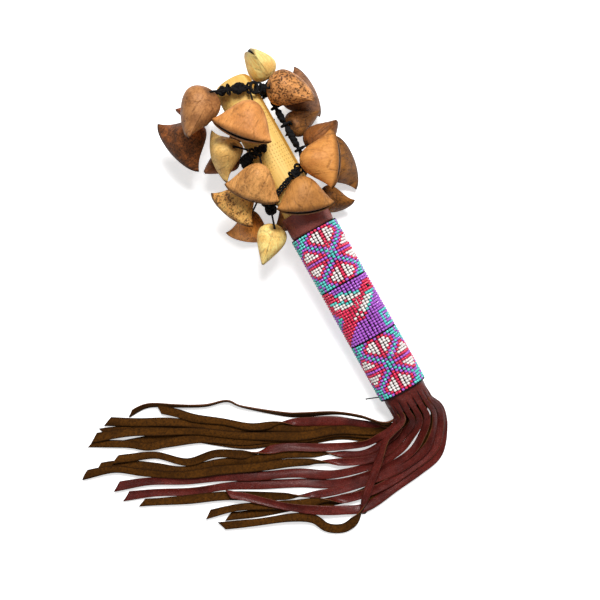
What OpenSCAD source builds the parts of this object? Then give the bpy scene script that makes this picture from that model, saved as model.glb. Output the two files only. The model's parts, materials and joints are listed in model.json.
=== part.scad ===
// Hand rattle: hollow nutshell pods tied on braided cords round a wooden stick,
// with a beaded leather grip and a fringe cut from the end of the grip leather.
// The rattle lies on the plane z = 0, on its grip and its lowest pods, with the tip towards +Y.

/* [Stick] */
// Diameter of the wooden stick
stick_d = 24; // [23:0.5:26]
// Length of bare stick beyond the leather collar
stick_reach = 89; // [85:0.5:100]
// Length of stick inside the leather below the beads
stick_tail = 7; // [4:0.5:8]
// Radius of the rounded edge at the tip
tip_round = 5; // [2:0.5:9]

/* [Leather] */
// Thickness of the grip leather
leather_t = 1.3; // [1:0.1:1.5]
// Length of the bare leather collar above the beads
collar_l = 13.5; // [11:0.5:16]
// How far the collar stands out from the leather under the beads
collar_flare = 0.8; // [0.3:0.1:1]
// Length of uncut leather below the beads
skirt_l = 10.5; // [9:0.5:12]
// Width of a fringe strip
strip_w = 4.2; // [3:0.1:4.3]

/* [Beadwork] */
// Diameter of a seed bead
bead_d = 2; // [1.8:0.1:2.3]
// Distance between bead rows along the stick
row_pitch = 1.7; // [1.6:0.05:1.8]
// Bead rows in one panel
panel_rows = 21; // [19:1:23]
// Width of the black thread bands at the panel edges
band_w = 0.6; // [0.4:0.1:1]
// Diameter of the loose end of thread
thread_d = 0.7; // [0.5:0.1:1]
// Length of the loose end of thread
thread_l = 8; // [5:0.5:12]

/* [Pods] */
// Width of a pod from corner to corner of its mouth
pod_w = 37; // [34:0.5:37]
// Thickness of a pod across its belly
pod_t = 22; // [19:0.5:22]
// Length from the tied end to the mouth corners
pod_l = 21; // [19:0.5:21]
// How far the lips bow out past the corners
lip_bow = 3.5; // [2:0.5:3.5]
// Wall of the shell
shell_t = 1.4; // [1:0.1:1.8]
// Open width of the slit between the lips
slit_w = 1.6; // [1.2:0.1:2.4]

/* [Cords] */
// Diameter of the braided cords that hold the pods
ring_cord_d = 3; // [2.4:0.1:3.2]
// Gap between the ring cords and the stick
cord_gap = 3.9; // [3.8:0.1:4.5]
// Diameter of the thinner cord that ties each pod
tie_d = 1.4; // [1:0.1:1.5]
// Play between a tie's eye and the cord inside it
eye_clear = 0.7; // [0.5:0.1:0.8]
// Play between a tie and the hole in the pod
hole_clear = 0.3; // [0.2:0.1:0.5]
// Distance of the upper ring cord from the leather collar
upper_ring_up = 80; // [78:0.5:83]
// Turn of the upper ring cord about the vertical
upper_ring_turn = -22; // [-24:1:-20]
// Distance of the middle cord from the leather collar
middle_ring_up = 42; // [41:0.5:43]
// Distance of the lower ring cord from the leather collar
lower_ring_up = 18; // [17:0.5:19]
// Turn of the lower ring cord about the vertical
lower_ring_turn = 20; // [18:1:22]

/* [Hidden] */
$fn = 64;
// Sides and rings of a faceted pod
pod_sides = 16;
pod_rings = 8;
lining_rings = 3;
// Points between two route points of a fringe strip
strip_steps = 3;
// Rest gap inside a tie's eye, on the side that hangs on the cord
eye_rest = 0.3;

stick_r = stick_d / 2;
sleeve_r = stick_r + leather_t;
bead_r = sleeve_r + bead_d;
panel_l = panel_rows * row_pitch;
bead_top = 4 * band_w + 3 * panel_l;
collar_top = bead_top + collar_l;
stick_top = collar_top + stick_reach;
ring_r = stick_r + cord_gap + ring_cord_d / 2;
eye_r = ring_cord_d / 2 + eye_clear + tie_d / 2;
eye_hang = eye_clear - eye_rest;
hole_r = tie_d / 2 + hole_clear;
side_x = ring_r * cos(max(abs(upper_ring_turn), abs(lower_ring_turn)));

// Knots that seat the cords on the stick: cord, degrees on it, radius of the knot
KNOTS = [
  ["upper", 4, 3.2],
  ["upper", 156, 2.4],
  ["upper", 38, 2.4],
  ["middle", -10, 2.6],
  ["middle", -200, 2.4],
  ["lower", 26, 2.2],
  ["lower", -96, 4],
  ["lower", 165, 2.4]
];

// One row per pod: cord, place on it (degrees on a ring, mm from the collar on a side cord),
// offset of the tied end from the cord, yaw, pitch and roll, size against the named pod
PODS = [
  ["upper", 126, 9.5, 6, 1.5, 102, 14, 90, 0.86],
  ["upper", 48, 5.5, -4, 4, -21, -35, 128, 1.04],
  ["right", 62, 8.5, 0.5, -9.5, 6, -36, 12, 0.94],
  ["upper", -14, -10, 2.5, 7.5, -165, -34, 58, 1.1],
  ["upper", -92, -11, -11.5, -5, -168, -8, 4, 1.06],
  ["upper", -124, -7, -5, -3.5, 143, -41, 90, 0.78],
  ["upper", 26, -3, -12.5, 5, -144, 32, 6, 1.02],
  ["middle", -33, -8, 9, 2.5, 174, -55, 8, 0.92],
  ["middle", -122, -3.5, 9, -2, 175, -35, 78, 0.84],
  ["middle", -22, -2, -8, 2, -137, 4, 0, 0.92],
  ["left", 29, -4.5, -1.5, 1, -158, 0, 10, 0.9],
  ["left", 20, -12, -6, -12.5, -124, -44, 0, 0.84],
  ["lower", -70, -4.5, -14, 3, -139, -46, 88, 0.86],
  ["right", 50, 3.5, -1, -3, -8, -62, 80, 0.8],
  ["right", 33, 5.5, -0.5, 1.5, 4, -28, 80, 0.86],
  ["lower", 35, 3, 2.5, 5, -26, 20, -6, 0.97],
  ["lower", 14, 3, -4.5, 2, -108, 26, -8, 0.93],
  ["lower", 108, 7, -8.5, -8.5, -4, -26, 10, 0.96],
  ["lower", 140, 6.5, -17, 3, -70, -40, 50, 0.76],
  ["upper", -174, 0, -4.5, -3, -92, -35, 6, 0.9],
  ["middle", 180, 0, -4.5, -2, -88, -27, 0, 0.9],
  ["lower", -168, -0.5, -4.5, -1.5, -98, -24, 0, 0.8]
];

// Fringe strips in the frame of the floor, before the part is centred: degrees on the rim,
// turn of the strip on its edge, route points
REAR_STRIPS = [
  [-100, -80, [[-20, -12.5, 11.5], [-29, -3, 10], [-42.5, 7.5, 5], [-60.5, 16.5, 3], [-70.5, 22.5, 2.5],
    [-90.5, 38.5, 2.5], [-97.5, 46.5, 2.5], [-110.5, 50.5, 2.5], [-125.5, 58.5, 2.5], [-141.5, 67.5, 2.5],
    [-153.5, 68.5, 2.5]]],
  [-120, 0, [[-15.5, -17, 7], [-30, -7.5, 5.5], [-45.5, 3.5, 4.2], [-60.5, 11.5, 4.2], [-72.5, 17.5, 4.2],
    [-90.5, 24.5, 4.2], [-105.5, 36.5, 4.2], [-119.5, 46.5, 4.2], [-128.5, 55.5, 3.5], [-136.5, 62.5, 3]]],
  [-140, 0, [[-10.5, -18.5, 4.8], [-27.5, -10.5, 3.4], [-45.5, 1.5, 2.7], [-62.5, 8.5, 2.6],
    [-80.5, 18.5, 2.6], [-100.5, 29.5, 2.6], [-119.5, 42.5, 2.6], [-136.5, 53.5, 2.6], [-151.5, 61.5, 2.6],
    [-168.5, 71.5, 2.6]]],
  [-160, 0, [[-6, -19, 1.4], [-26, -13.5, 1.2], [-45.5, -0.5, 1], [-65.5, 6.5, 1], [-82.5, 15.5, 1],
    [-100.5, 26.5, 1], [-121.5, 41.5, 1], [-141.5, 52.5, 1], [-157.5, 60.5, 1], [-174.5, 67.5, 1]]],
  [180, 0, [[-3.5, -19.5, 4], [-25, -14.5, 5], [-45.5, -2.5, 4.2], [-65.5, 4.5, 4.2], [-82.5, 13.5, 4.2],
    [-101.5, 24.5, 4.2], [-121.5, 38.5, 4.2], [-141.5, 49.5, 4.2], [-158.5, 58.5, 4.2], [-180, 66.5, 4.2]]],
  [160, 0, [[2, -19, 1.6], [-8, -20.5, 2.6], [-25.5, -16.5, 2.6], [-45.5, -4.5, 2.6], [-65.5, 2.5, 2.6],
    [-82.5, 11.5, 2.6], [-99.5, 19.5, 2.6], [-121.5, 33.5, 2.6], [-141.5, 41.5, 2.6], [-153.5, 45.5, 2.6],
    [-164.5, 53.5, 2.6], [-184, 64.5, 2]]],
  [140, 0, [[4, -20, 2], [-8.5, -25, 1.3], [-25.5, -20, 1], [-45.5, -6.5, 1], [-65.5, 1.5, 1],
    [-82.5, 9.5, 1], [-99.5, 16.5, 1], [-116.5, 28.5, 1], [-131.5, 40.5, 1], [-146.5, 47.5, 1],
    [-164.5, 53.5, 1]]]
];
MIDDLE_STRIPS = [
  [-80, 0, [[-17, -17.5, 13], [-26.5, -18, 8], [-38, -16.5, 5], [-60.5, -6.5, 2.6], [-80.5, 4.5, 2.6],
    [-101.5, 11.5, 2.6], [-118.5, 21.5, 2.6], [-136.5, 25.5, 2.6], [-151.5, 38.5, 2.6],
    [-167.5, 45.5, 2.6], [-175, 48.5, 2.6]]],
  [-60, 0, [[-14, -20.5, 17], [-25.5, -22.5, 8.5], [-41, -22, 3.5], [-60.5, -10.5, 1], [-81.5, 0.5, 1],
    [-101.5, 7.5, 1], [-121.5, 16.5, 1], [-141.5, 22.5, 1], [-156.5, 33.5, 1], [-172.5, 43.5, 1],
    [-187, 49.5, 1]]],
  [-20, 0, [[-4.5, -19.5, 22], [-12, -23, 14], [-25.5, -27.5, 8], [-41, -26, 5.5], [-60.5, -16.5, 4.2],
    [-81.5, -5.5, 4.2], [-101.5, 2.5, 4.2], [-121.5, 11.5, 4.2], [-141.5, 19.5, 4.2], [-162.5, 32.5, 4.2],
    [-178, 43.5, 4.2], [-196, 49.5, 3]]],
  [0, 0, [[-0.5, -21, 22], [-7.5, -26, 14.5], [-19.5, -31, 9.5], [-37, -31, 4.2], [-61.5, -24.5, 2.6],
    [-81.5, -12.5, 2.6], [-101.5, -3.5, 2.6], [-121.5, 6.5, 2.6], [-141.5, 15.5, 2.6], [-162.5, 26.5, 2.6],
    [-182, 33.5, 2.6]]],
  [20, 0, [[4.5, -21, 21], [-1.5, -28, 14], [-13.5, -35, 9.8], [-33, -36, 4], [-61.5, -30.5, 1],
    [-81.5, -19.5, 1], [-101.5, -9.5, 1], [-121.5, 0.5, 1], [-142.5, 8.5, 1], [-162.5, 18.5, 1],
    [-180, 25.5, 1]]],
  [40, 0, [[9.5, -20.5, 18], [5.5, -29, 10.4], [-5.5, -38, 7.4], [-24.5, -40, 6.4], [-46, -38, 3.6],
    [-66.5, -33.5, 2.6], [-86.5, -25.5, 2.6], [-106.5, -14.5, 2.6], [-126.5, -3.5, 2.6],
    [-147.5, 5.5, 2.6], [-173, 17.5, 2.6]]]
];
FRONT_STRIPS = [
  [-40, 0, [[-11, -17.5, 24], [-22.5, -20.5, 19], [-37, -33, 12], [-52, -46, 7.5], [-61.5, -53.5, 4.6],
    [-71.5, -55.5, 2.5], [-80.5, -50.5, 2.5], [-85.5, -41.5, 4.2], [-96.5, -34.5, 5], [-117.5, -26.5, 4],
    [-136.5, -18.5, 2]]],
  [60, 0, [[13.5, -20.5, 13.5], [9.5, -29, 6.6], [-1.5, -41, 5], [-20.5, -44, 4.4], [-42, -44.5, 4.2],
    [-61.5, -40.5, 4.2], [-81.5, -32.5, 4.2], [-101.5, -23.5, 4.2], [-122.5, -13.5, 4.2],
    [-140.5, -8.5, 3]]],
  [80, 0, [[15, -20, 10.5], [12.5, -30, 3.6], [0.5, -44, 2.6], [-15.5, -48, 2.6], [-34, -49.5, 2.6],
    [-54, -51, 2.6], [-67.5, -45.5, 4.6], [-81.5, -37.5, 6], [-96.5, -26.5, 6], [-113.5, -11.5, 6],
    [-123.5, -3.5, 6]]],
  [100, 0, [[14.5, -19, 7.5], [10.5, -27.5, 1.8], [-0.5, -41, 1], [-13.5, -46, 1], [-32.5, -48.5, 1],
    [-48.5, -49.5, 1], [-59.5, -52.5, 1]]],
  [120, 0, [[11.5, -19, 4.5], [6.5, -25.5, 1.2], [-5.5, -35, 1], [-26.5, -41, 1], [-50, -43, 1],
    [-69.5, -38.5, 1], [-91.5, -30.5, 1], [-111.5, -23.5, 1], [-130.5, -15.5, 1]]]
];

function two(i) = str(i < 9 ? "0" : "", i + 1);

function unit(v) = v / norm(v);

// Points and directions on the cords, in the frame of the stick
function ring_y(c) = collar_top + (c == "upper" ? upper_ring_up : c == "middle" ? middle_ring_up : lower_ring_up);
function ring_turn(c) = c == "upper" ? upper_ring_turn : c == "lower" ? lower_ring_turn : 0;
function is_side(c) = c == "left" || c == "right";
function cord_at(c, p) = is_side(c)
  ? [c == "left" ? -side_x : side_x, collar_top + p, 0]
  : [ring_r * sin(p) * cos(ring_turn(c)), ring_y(c) + ring_r * sin(p) * sin(ring_turn(c)), ring_r * cos(p)];
function cord_along(c, p) = is_side(c)
  ? [0, 1, 0]
  : [cos(p) * cos(ring_turn(c)), cos(p) * sin(ring_turn(c)), -sin(p)];

// A pod along +X: tied end at the origin, mouth at +X, width along Y, thickness along Z
function pod_ring(f, half_w, half_t, lip, base, long, bow) =
  let (w = hole_r + (half_w - hole_r) * (0.78 * sqrt(f) + 0.22 * pow(f, 4)),
       s = f <= 0 || f >= 1 ? 0 : pow(sin(180 * pow(f, 0.7)), 0.75),
       t = hole_r * (1 - f) + (half_t - hole_r) * s + lip * pow(f, 3))
  [for (k = [0 : pod_sides - 1])
    let (a = 360 * k / pod_sides, m = abs(sin(a)))
    [base * (1 - f) + long * f + bow * f * f * m * m, w * cos(a), t * sin(a) * pow(m, 0.6 * f)]];
function shell_points(size) = [for (i = [0 : pod_rings])
  each pod_ring(pow(i / pod_rings, 2), size * pod_w / 2, size * pod_t / 2, slit_w / 2 + shell_t, 0,
    size * pod_l, size * lip_bow)];
function lining_points(size) = [for (i = [0 : lining_rings])
  each pod_ring(pow(1 - i / lining_rings, 2), size * pod_w / 2 - 2 * shell_t, size * pod_t / 2 - shell_t,
    slit_w / 2, shell_t, size * pod_l, size * lip_bow)];
// Triangles of a closed grid of rings
function grid_faces(rings, sides) = [for (i = [0 : rings - 1], k = [0 : sides - 1])
  let (a = i * sides + k, b = i * sides + (k + 1) % sides,
       c = ((i + 1) % rings) * sides + k, d = ((i + 1) % rings) * sides + (k + 1) % sides)
  each [[a, d, b], [a, c, d]]];

// Directions of a pod: its length, its width and its thickness
function pod_dir(r) = [cos(r[6]) * cos(r[5]), cos(r[6]) * sin(r[5]), sin(r[6])];
function pod_width(r) = let (w = [-sin(r[5]), cos(r[5]), 0]) w * cos(r[7]) + cross(pod_dir(r), w) * sin(r[7]);
function pod_end(r) = cord_at(r[0], r[1]) + [r[2], r[3], r[4]];
function pod_point(r, p) = pod_end(r) + pod_dir(r) * p[0] + pod_width(r) * p[1]
  + cross(pod_dir(r), pod_width(r)) * p[2];
function eye_out(r) = let (o = [r[2], r[3], r[4]], t = cord_along(r[0], r[1])) unit(o - (o * t) * t);

// How far the head is raised: the lowest pod and the lower edge of the beadwork touch the floor
LOW = [for (r = PODS) each [for (p = shell_points(r[8])) pod_point(r, p)]];
rest_tilt = max([for (p = LOW) atan2(-p[2] - bead_r, p[1])]);
function laid(p) = [
  p[0],
  p[1] * cos(rest_tilt) - p[2] * sin(rest_tilt),
  p[1] * sin(rest_tilt) + p[2] * cos(rest_tilt) + bead_r * cos(rest_tilt)];
LAID = [for (p = LOW) laid(p)];
tip_y = (stick_top - tip_round) * cos(rest_tilt) + (stick_r - tip_round) * sin(rest_tilt) + tip_round;
rim_y = -skirt_l * cos(rest_tilt) - sleeve_r * sin(rest_tilt);
mid_x = (min([for (p = LAID) p[0]]) + max([for (p = LAID) p[0]])) / 2;
mid_y = (rim_y + max(tip_y, max([for (p = LAID) p[1]]))) / 2;

module lay() {
  translate([-mid_x, -mid_y, bead_r * cos(rest_tilt)])
    rotate([rest_tilt, 0, 0])
      children();
}

module along_stick() {
  lay()
    rotate([-90, 0, 0])
      children();
}

// Turns +Z to the direction v
module aim(v) {
  rotate([0, acos(v[2] / norm(v)), atan2(v[1], v[0])])
    children();
}

module rod(a, b, d) {
  translate(a)
    aim(b - a)
      cylinder(d = d, h = norm(b - a));
}

module stick() {
  color("burlywood")
    along_stick()
      rotate_extrude()
        union() {
          translate([0, -stick_tail])
            square([stick_r, stick_tail + stick_top - tip_round]);
          translate([0, -stick_tail])
            square([stick_r - tip_round, stick_tail + stick_top]);
          translate([stick_r - tip_round, stick_top - tip_round])
            circle(tip_round);
        }
}

module leather_sleeve() {
  color("saddlebrown")
    along_stick()
      rotate_extrude()
        polygon([
          [stick_r, -skirt_l],
          [sleeve_r, -skirt_l],
          [sleeve_r, bead_top],
          [sleeve_r + collar_flare / 2, bead_top + 0.6],
          [sleeve_r + collar_flare, bead_top + collar_l / 4],
          [sleeve_r + collar_flare, collar_top - 0.6],
          [sleeve_r + collar_flare - 0.4, collar_top],
          [stick_r, collar_top]]);
}

module bead_panel(index) {
  bead_half = row_pitch / 2;
  crest = bead_r - bead_half;
  color("crimson")
    along_stick()
      translate([0, 0, band_w + index * (panel_l + band_w)])
        rotate_extrude()
          union() {
            translate([sleeve_r, 0])
              square([crest - sleeve_r + bead_half / 3, panel_l]);
            for (row = [0 : panel_rows - 1])
              translate([crest, (row + 0.5) * row_pitch])
                circle(bead_half);
          }
}

module bead_panel_upper() {
  bead_panel(2);
}

module bead_panel_middle() {
  bead_panel(1);
}

module bead_panel_lower() {
  bead_panel(0);
}

module thread_bands() {
  color("black")
    along_stick()
      for (i = [0 : 3])
        translate([0, 0, i * (panel_l + band_w)])
          rotate_extrude()
            translate([sleeve_r, 0])
              square([bead_d * 0.8, band_w]);
}

module thread_tail() {
  root = [-bead_r * sin(78) + 0.3, band_w + 1.5 * row_pitch, bead_r * cos(78)];
  tip = root + thread_l * unit([-0.9, 0.36, 0.1]);
  color("black")
    lay() {
      rod(root, tip, thread_d);
      translate(tip)
        sphere(thread_d * 0.7);
    }
}

// A cord round the stick from one angle to another
module ring_cord(c, from, to) {
  lay()
    translate([0, ring_y(c), 0])
      rotate([0, 0, ring_turn(c)])
        rotate([-90, 0, 0])
          rotate([0, 0, from - 90])
            rotate_extrude(angle = to - from)
              translate([ring_r, 0])
                circle(d = ring_cord_d);
  lay()
    for (k = KNOTS)
      if (k[0] == c) {
        at = cord_at(c, k[1]);
        out = [at[0], 0, at[2]];
        rod(at - out * (1 - (stick_r - 0.2) / norm(out)), at, ring_cord_d * 0.9);
        translate(at)
          sphere(k[2]);
      }
}

module upper_ring_cord() {
  color("black")
    ring_cord("upper", 0, 360);
}

module middle_cord() {
  color("black")
    ring_cord("middle", -200, -10);
}

module lower_ring_cord() {
  color("black")
    ring_cord("lower", 0, 360);
}

module left_side_cord() {
  color("black")
    lay()
      rod([-side_x, cord_at("lower", -90)[1], 0], [-side_x, ring_y("middle"), 0], ring_cord_d);
}

module right_side_cord() {
  color("black")
    lay()
      rod([side_x, cord_at("lower", 90)[1], 0], [side_x, cord_at("upper", 90)[1], 0], ring_cord_d);
}

module pod(i) {
  r = PODS[i];
  color("peru")
    lay()
      translate(pod_end(r))
        rotate([0, -r[6], r[5]])
          rotate([r[7], 0, 0])
            polyhedron(
              points = concat(shell_points(r[8]), lining_points(r[8])),
              faces = grid_faces(pod_rings + lining_rings + 2, pod_sides),
              convexity = 6);
}

// Turns +Z to the direction z and +X towards the direction x
module face_to(x, z) {
  k = unit(z);
  i = unit(x - (x * k) * k);
  j = cross(k, i);
  multmatrix([
    [i[0], j[0], k[0], 0],
    [i[1], j[1], k[1], 0],
    [i[2], j[2], k[2], 0],
    [0, 0, 0, 1]])
    children();
}

// A tie: an eye round the cord, a stem to the hole in the pod, and a stopper knot inside
module tie(i) {
  r = PODS[i];
  knot_r = hole_r + 0.6;
  stem_d = 0.82 * tie_d;
  neck_d = 0.72 * tie_d;
  at = cord_at(r[0], r[1]);
  out = eye_out(r);
  start = at + out * (eye_hang + eye_r);
  end = pod_end(r);
  back = unit(start - end);
  inside = end + pod_dir(r) * (shell_t + sqrt(knot_r * knot_r - hole_r * hole_r));
  bend = cross(back, pod_dir(r));
  pole = norm(bend) > 0.05 ? unit(bend) : pod_width(r);
  clear = norm(back + pod_dir(r)) > 0.3 ? -unit(back + pod_dir(r)) : cross(pole, back);
  color("dimgray")
    lay() {
      translate(at + out * eye_hang)
        face_to(-out, cord_along(r[0], r[1]))
          rotate_extrude()
            translate([eye_r, 0])
              rotate(150)
                circle(d = tie_d);
      rod(start, end, stem_d);
      translate(end)
        face_to(clear, pole)
          sphere(0.58 * tie_d);
      rod(end, inside, neck_d);
      translate(inside)
        face_to(pod_dir(r), pod_width(r))
          sphere(knot_r);
    }
}

// A fringe strip: its root on the rim of the skirt, a smooth curve through the route points
function rim_point(a) = laid([(stick_r + leather_t / 2) * sin(a), -skirt_l, (stick_r + leather_t / 2) * cos(a)]);
function away() = [0, -cos(rest_tilt), -sin(rest_tilt)];
function strip_points(s) = concat([rim_point(s[0]), rim_point(s[0]) + away() * 3], s[2]);
function curve(a, b, c, d, t) = b + ((c - a) * t + (2 * a - 5 * b + 4 * c - d) * t * t
  + (3 * b - a - 3 * c + d) * t * t * t) / 2;
function strip_line(s) = let (p = strip_points(s), n = len(p) - 1) concat(
  [for (i = [0 : n - 1], k = [0 : strip_steps - 1])
    curve(p[max(i - 1, 0)], p[i], p[i + 1], p[min(i + 2, n)], k / strip_steps)],
  [p[n]]);
function strip_side(s, line, i, d) =
  let (n = len(line) - 1,
       blend = min(1, i / (0.35 * n)),
       sign = cos(s[0]) < 0 ? -1 : 1,
       root = sign * [cos(s[0]), sin(s[0]) * sin(rest_tilt), -sin(s[0]) * cos(rest_tilt)],
       flat = unit([-d[1], d[0], 0]),
       edge = cross(d, flat),
       w = root * (1 - blend) + (flat * cos(s[1]) + edge * sin(s[1])) * blend)
  unit(w - (w * d) * d);
function strip_rings(s) = let (line = strip_line(s), n = len(line) - 1)
  [for (i = [0 : n])
    let (d = i == 0 ? away() : unit(line[min(i + 1, n)] - line[i - 1]),
         w = strip_side(s, line, i, d) * strip_w / 2,
         t = cross(d, unit(w)) * leather_t / 2)
    each [line[i] + w + t, line[i] - w + t, line[i] - w - t, line[i] + w - t]];
function strip_faces(n) = concat(
  [[0, 1, 2], [0, 2, 3]],
  [for (i = [0 : n - 2], k = [0 : 3])
    let (a = i * 4 + k, b = i * 4 + (k + 1) % 4)
    each [[a, a + 4, b + 4], [a, b + 4, b]]],
  [[4 * n - 4, 4 * n - 2, 4 * n - 3], [4 * n - 4, 4 * n - 1, 4 * n - 2]]);

module fringe(strips) {
  color("sienna")
    translate([-mid_x, -mid_y, 0])
      for (s = strips) {
        rings = strip_rings(s);
        polyhedron(points = rings, faces = strip_faces(len(rings) / 4), convexity = 8);
      }
}

module fringe_rear() {
  fringe(REAR_STRIPS);
}

module fringe_middle() {
  fringe(MIDDLE_STRIPS);
}

module fringe_front() {
  fringe(FRONT_STRIPS);
}

stick();
leather_sleeve();
bead_panel_upper();
bead_panel_middle();
bead_panel_lower();
thread_bands();
thread_tail();
upper_ring_cord();
middle_cord();
lower_ring_cord();
left_side_cord();
right_side_cord();
fringe_rear();
fringe_middle();
fringe_front();
for (i = [0 : len(PODS) - 1]) {
  pod(i);
  tie(i);
}
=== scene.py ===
"""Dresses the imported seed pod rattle: beadwork, nutshells, plaited cord, leather fringe, and its table."""

import json
import math

import bpy
import numpy as np
from mathutils import Matrix, Vector


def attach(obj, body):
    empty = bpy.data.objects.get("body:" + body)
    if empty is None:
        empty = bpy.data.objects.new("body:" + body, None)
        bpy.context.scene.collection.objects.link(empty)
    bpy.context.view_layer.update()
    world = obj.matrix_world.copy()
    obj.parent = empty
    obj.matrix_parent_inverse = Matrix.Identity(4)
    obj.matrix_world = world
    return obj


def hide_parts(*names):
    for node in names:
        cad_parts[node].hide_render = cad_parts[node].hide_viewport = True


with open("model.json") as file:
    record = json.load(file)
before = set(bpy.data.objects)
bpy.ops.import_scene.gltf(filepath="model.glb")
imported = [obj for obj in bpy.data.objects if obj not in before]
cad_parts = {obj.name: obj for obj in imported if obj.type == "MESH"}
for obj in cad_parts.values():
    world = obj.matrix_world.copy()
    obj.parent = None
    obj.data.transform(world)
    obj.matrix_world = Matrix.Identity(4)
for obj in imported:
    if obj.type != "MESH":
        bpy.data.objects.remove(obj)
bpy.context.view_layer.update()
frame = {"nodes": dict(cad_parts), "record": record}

# Sizes of the rattle in millimetres, in the frame of its stick: +Y to the tip, +Z up
MM = 0.001
STICK_R = 12.0
STICK_TOP = 212.0
STICK_TAIL = 7.0
TIP_ROUND = 5.0
SLEEVE_R = 13.3
LEATHER_T = 1.3
COLLAR_R = 14.1
COLLAR_TOP = 123.0
SKIRT_L = 10.5
STRIP_W = 4.2
BEAD_R = 15.3
BEAD_TOP = 109.5
BEAD_ROWS = 21
BEAD_COLUMNS = 40
ROW_PITCH = 1.7
BAND_W = 0.6
PANEL_L = BEAD_ROWS * ROW_PITCH
TIE_D = 1.4
RING_R = 17.4
EYE_R = 2.9
EYE_HANG = 0.4
HOLE_R = 1.0
POD_W = 37.0
POD_T = 22.0
POD_L = 21.0
LIP_BOW = 3.5
SHELL_T = 1.4
SLIT_W = 1.6

# Where each cord ring is: its height on the stick and its slant in degrees
RINGS = {"upper": (203.0, -22.0), "middle": (165.0, 0.0), "lower": (141.0, 20.0)}
SIDE_X = RING_R * math.cos(math.radians(RINGS["upper"][1]))

# Knots on the rings: ring, degrees round it, radius
KNOTS = [
    ("upper", 4, 3.2), ("upper", 156, 2.4), ("upper", 38, 2.4), ("middle", -10, 2.6),
    ("middle", -200, 2.4), ("lower", 26, 2.2), ("lower", -96, 4), ("lower", 165, 2.4),
]

# Pods: cord, place on it, offset of the tied end, then yaw, pitch, roll and size. Then the shell's light tone
# and dark tone as seen, its speckling, how far a stain reaches from its mouth, and how much fuller its flanks
# are than its solid's, as a share of their half width.
PODS = [
    ("upper", 126, 9.5, 6, 1.5, 102, 14, 90, 0.86, (255, 234, 150), (244, 186, 96), 0.15, 0, 0.12),
    ("upper", 48, 5.5, -4, 4, -21, -35, 128, 1.04, (234, 162, 94), (166, 108, 60), 0.95, 0.1, 0.05),
    ("right", 62, 8.5, 0.5, -9.5, 6, -36, 12, 0.94, (156, 106, 70), (110, 70, 44), 0.4, 0.1, 0.05),
    ("upper", -14, -10, 2.5, 7.5, -165, -34, 58, 1.1, (198, 138, 84), (146, 94, 54), 0.25, 0.25, 0.1),
    ("upper", -92, -11, -11.5, -5, -168, -8, 4, 1.06, (190, 110, 56), (104, 64, 38), 0.75, 0.7, 0),
    ("upper", -124, -7, -5, -3.5, 143, -41, 90, 0.78, (158, 84, 46), (118, 62, 36), 0.2, 0, 0),
    ("upper", 26, -3, -12.5, 5, -144, 32, 6, 1.02, (228, 156, 88), (192, 122, 62), 0.15, 0, 0.12),
    # Painted light: this pod's tones are raised above its own colour to make up for the shade it lies in.
    ("middle", -33, -8, 9, 2.5, 174, -55, 8, 0.92, (255, 216, 132), (222, 168, 92), 0.2, 0.1, 0),
    ("middle", -122, -3.5, 9, -2, 175, -35, 78, 0.84, (146, 88, 48), (104, 62, 34), 0.3, 0.1, 0),
    ("middle", -22, -2, -8, 2, -137, 4, 0, 0.92, (232, 168, 98), (180, 122, 66), 0.35, 0.05, 0.09),
    # Painted light: these two pods' tones are raised above their own colour to make up for the shade they lie
    # in.
    ("left", 29, -4.5, -1.5, 1, -158, 0, 10, 0.9, (255, 200, 112), (214, 144, 76), 0.85, 0.1, 0),
    ("left", 20, -12, -6, -12.5, -124, -44, 0, 0.84, (252, 166, 76), (200, 122, 56), 0.3, 0.1, 0),
    ("lower", -70, -4.5, -14, 3, -139, -46, 88, 0.86, (255, 232, 146), (238, 180, 90), 0.2, 0, 0.12),
    ("right", 50, 3.5, -1, -3, -8, -62, 80, 0.8, (156, 102, 50), (108, 68, 34), 0.5, 0, 0),
    ("right", 33, 5.5, -0.5, 1.5, 4, -28, 80, 0.86, (152, 94, 46), (112, 66, 34), 0.25, 0.1, 0.12),
    ("lower", 35, 3, 2.5, 5, -26, 20, -6, 0.97, (218, 148, 76), (188, 118, 56), 0.15, 0, 0.06),
    ("lower", 14, 3, -4.5, 2, -108, 26, -8, 0.93, (200, 138, 74), (162, 106, 52), 0.2, 0, 0.1),
    ("lower", 108, 7, -8.5, -8.5, -4, -26, 10, 0.96, (160, 104, 46), (108, 66, 28), 0.5, 0.2, 0),
    ("lower", 140, 6.5, -17, 3, -70, -40, 50, 0.76, (160, 102, 44), (108, 66, 26), 0.7, 0.1, 0),
    ("upper", -174, 0, -4.5, -3, -92, -35, 6, 0.9, (160, 104, 56), (112, 70, 38), 0.5, 0.1, 0),
    ("middle", 180, 0, -4.5, -2, -88, -27, 0, 0.9, (160, 96, 50), (112, 64, 34), 0.4, 0.1, 0),
    ("lower", -168, -0.5, -4.5, -1.5, -98, -24, 0, 0.8, (168, 110, 60), (118, 74, 40), 0.4, 0.1, 0),
]

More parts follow.
